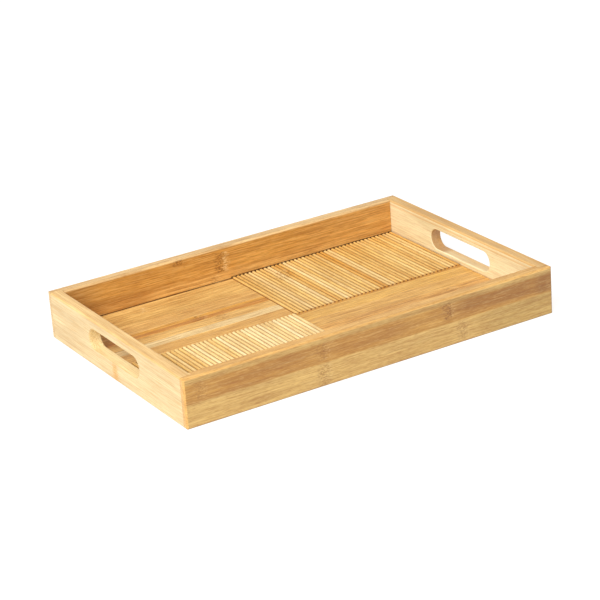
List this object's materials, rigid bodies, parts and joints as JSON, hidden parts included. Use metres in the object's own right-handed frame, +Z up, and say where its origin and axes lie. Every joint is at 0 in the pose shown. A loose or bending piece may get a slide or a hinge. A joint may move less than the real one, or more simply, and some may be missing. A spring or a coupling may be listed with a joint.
{
  "type": "serving tray",
  "caption": "Rectangular bamboo serving tray with a stadium hand slot in each end board and a chequered floor of flat and reeded panels.",
  "frame": {"origin": "middle of the tray's footprint, on the surface it stands on", "axes": "+X along the tray's length, towards the right end board; +Y towards the back board; +Z up"},
  "size_m": [0.4, 0.27, 0.048],
  "materials": {
    "long_board": "satin lacquered bamboo, side grain",
    "end_board": "satin lacquered bamboo, pale",
    "base": "matt bamboo ply",
    "flat_strip": "satin lacquered bamboo strip",
    "reeded_strip": "satin lacquered bamboo, moulded ribs",
    "dowel": "plain beech dowel"
  },
  "bodies": {
    "root": {"back_board": "long_board", "base_panel": "base", "dowel_back_left_1": "dowel", "dowel_back_left_2": "dowel", "dowel_back_right_1": "dowel", "dowel_back_right_2": "dowel", "dowel_front_left_1": "dowel", "dowel_front_left_2": "dowel", "dowel_front_right_1": "dowel", "dowel_front_right_2": "dowel", "flat_strip_back_1": "flat_strip", "flat_strip_back_2": "flat_strip", "flat_strip_back_3": "flat_strip", "flat_strip_back_4": "flat_strip", "flat_strip_back_5": "flat_strip", "flat_strip_back_6": "flat_strip", "flat_strip_back_7": "flat_strip", "flat_strip_front_1": "flat_strip", "flat_strip_front_2": "flat_strip", "flat_strip_front_3": "flat_strip", "flat_strip_front_4": "flat_strip", "flat_strip_front_5": "flat_strip", "flat_strip_front_6": "flat_strip", "front_board": "long_board", "left_end_board": "end_board", "reeded_strip_back_01": "reeded_strip", "reeded_strip_back_02": "reeded_strip", "reeded_strip_back_03": "reeded_strip", "reeded_strip_back_04": "reeded_strip", "reeded_strip_back_05": "reeded_strip", "reeded_strip_back_06": "reeded_strip", "reeded_strip_back_07": "reeded_strip", "reeded_strip_back_08": "reeded_strip", "reeded_strip_back_09": "reeded_strip", "reeded_strip_back_10": "reeded_strip", "reeded_strip_back_11": "reeded_strip", "reeded_strip_front_01": "reeded_strip", "reeded_strip_front_02": "reeded_strip", "reeded_strip_front_03": "reeded_strip", "reeded_strip_front_04": "reeded_strip", "reeded_strip_front_05": "reeded_strip", "reeded_strip_front_06": "reeded_strip", "reeded_strip_front_07": "reeded_strip", "reeded_strip_front_08": "reeded_strip", "reeded_strip_front_09": "reeded_strip", "reeded_strip_front_10": "reeded_strip", "right_end_board": "end_board"}
  },
  "joints": []
}
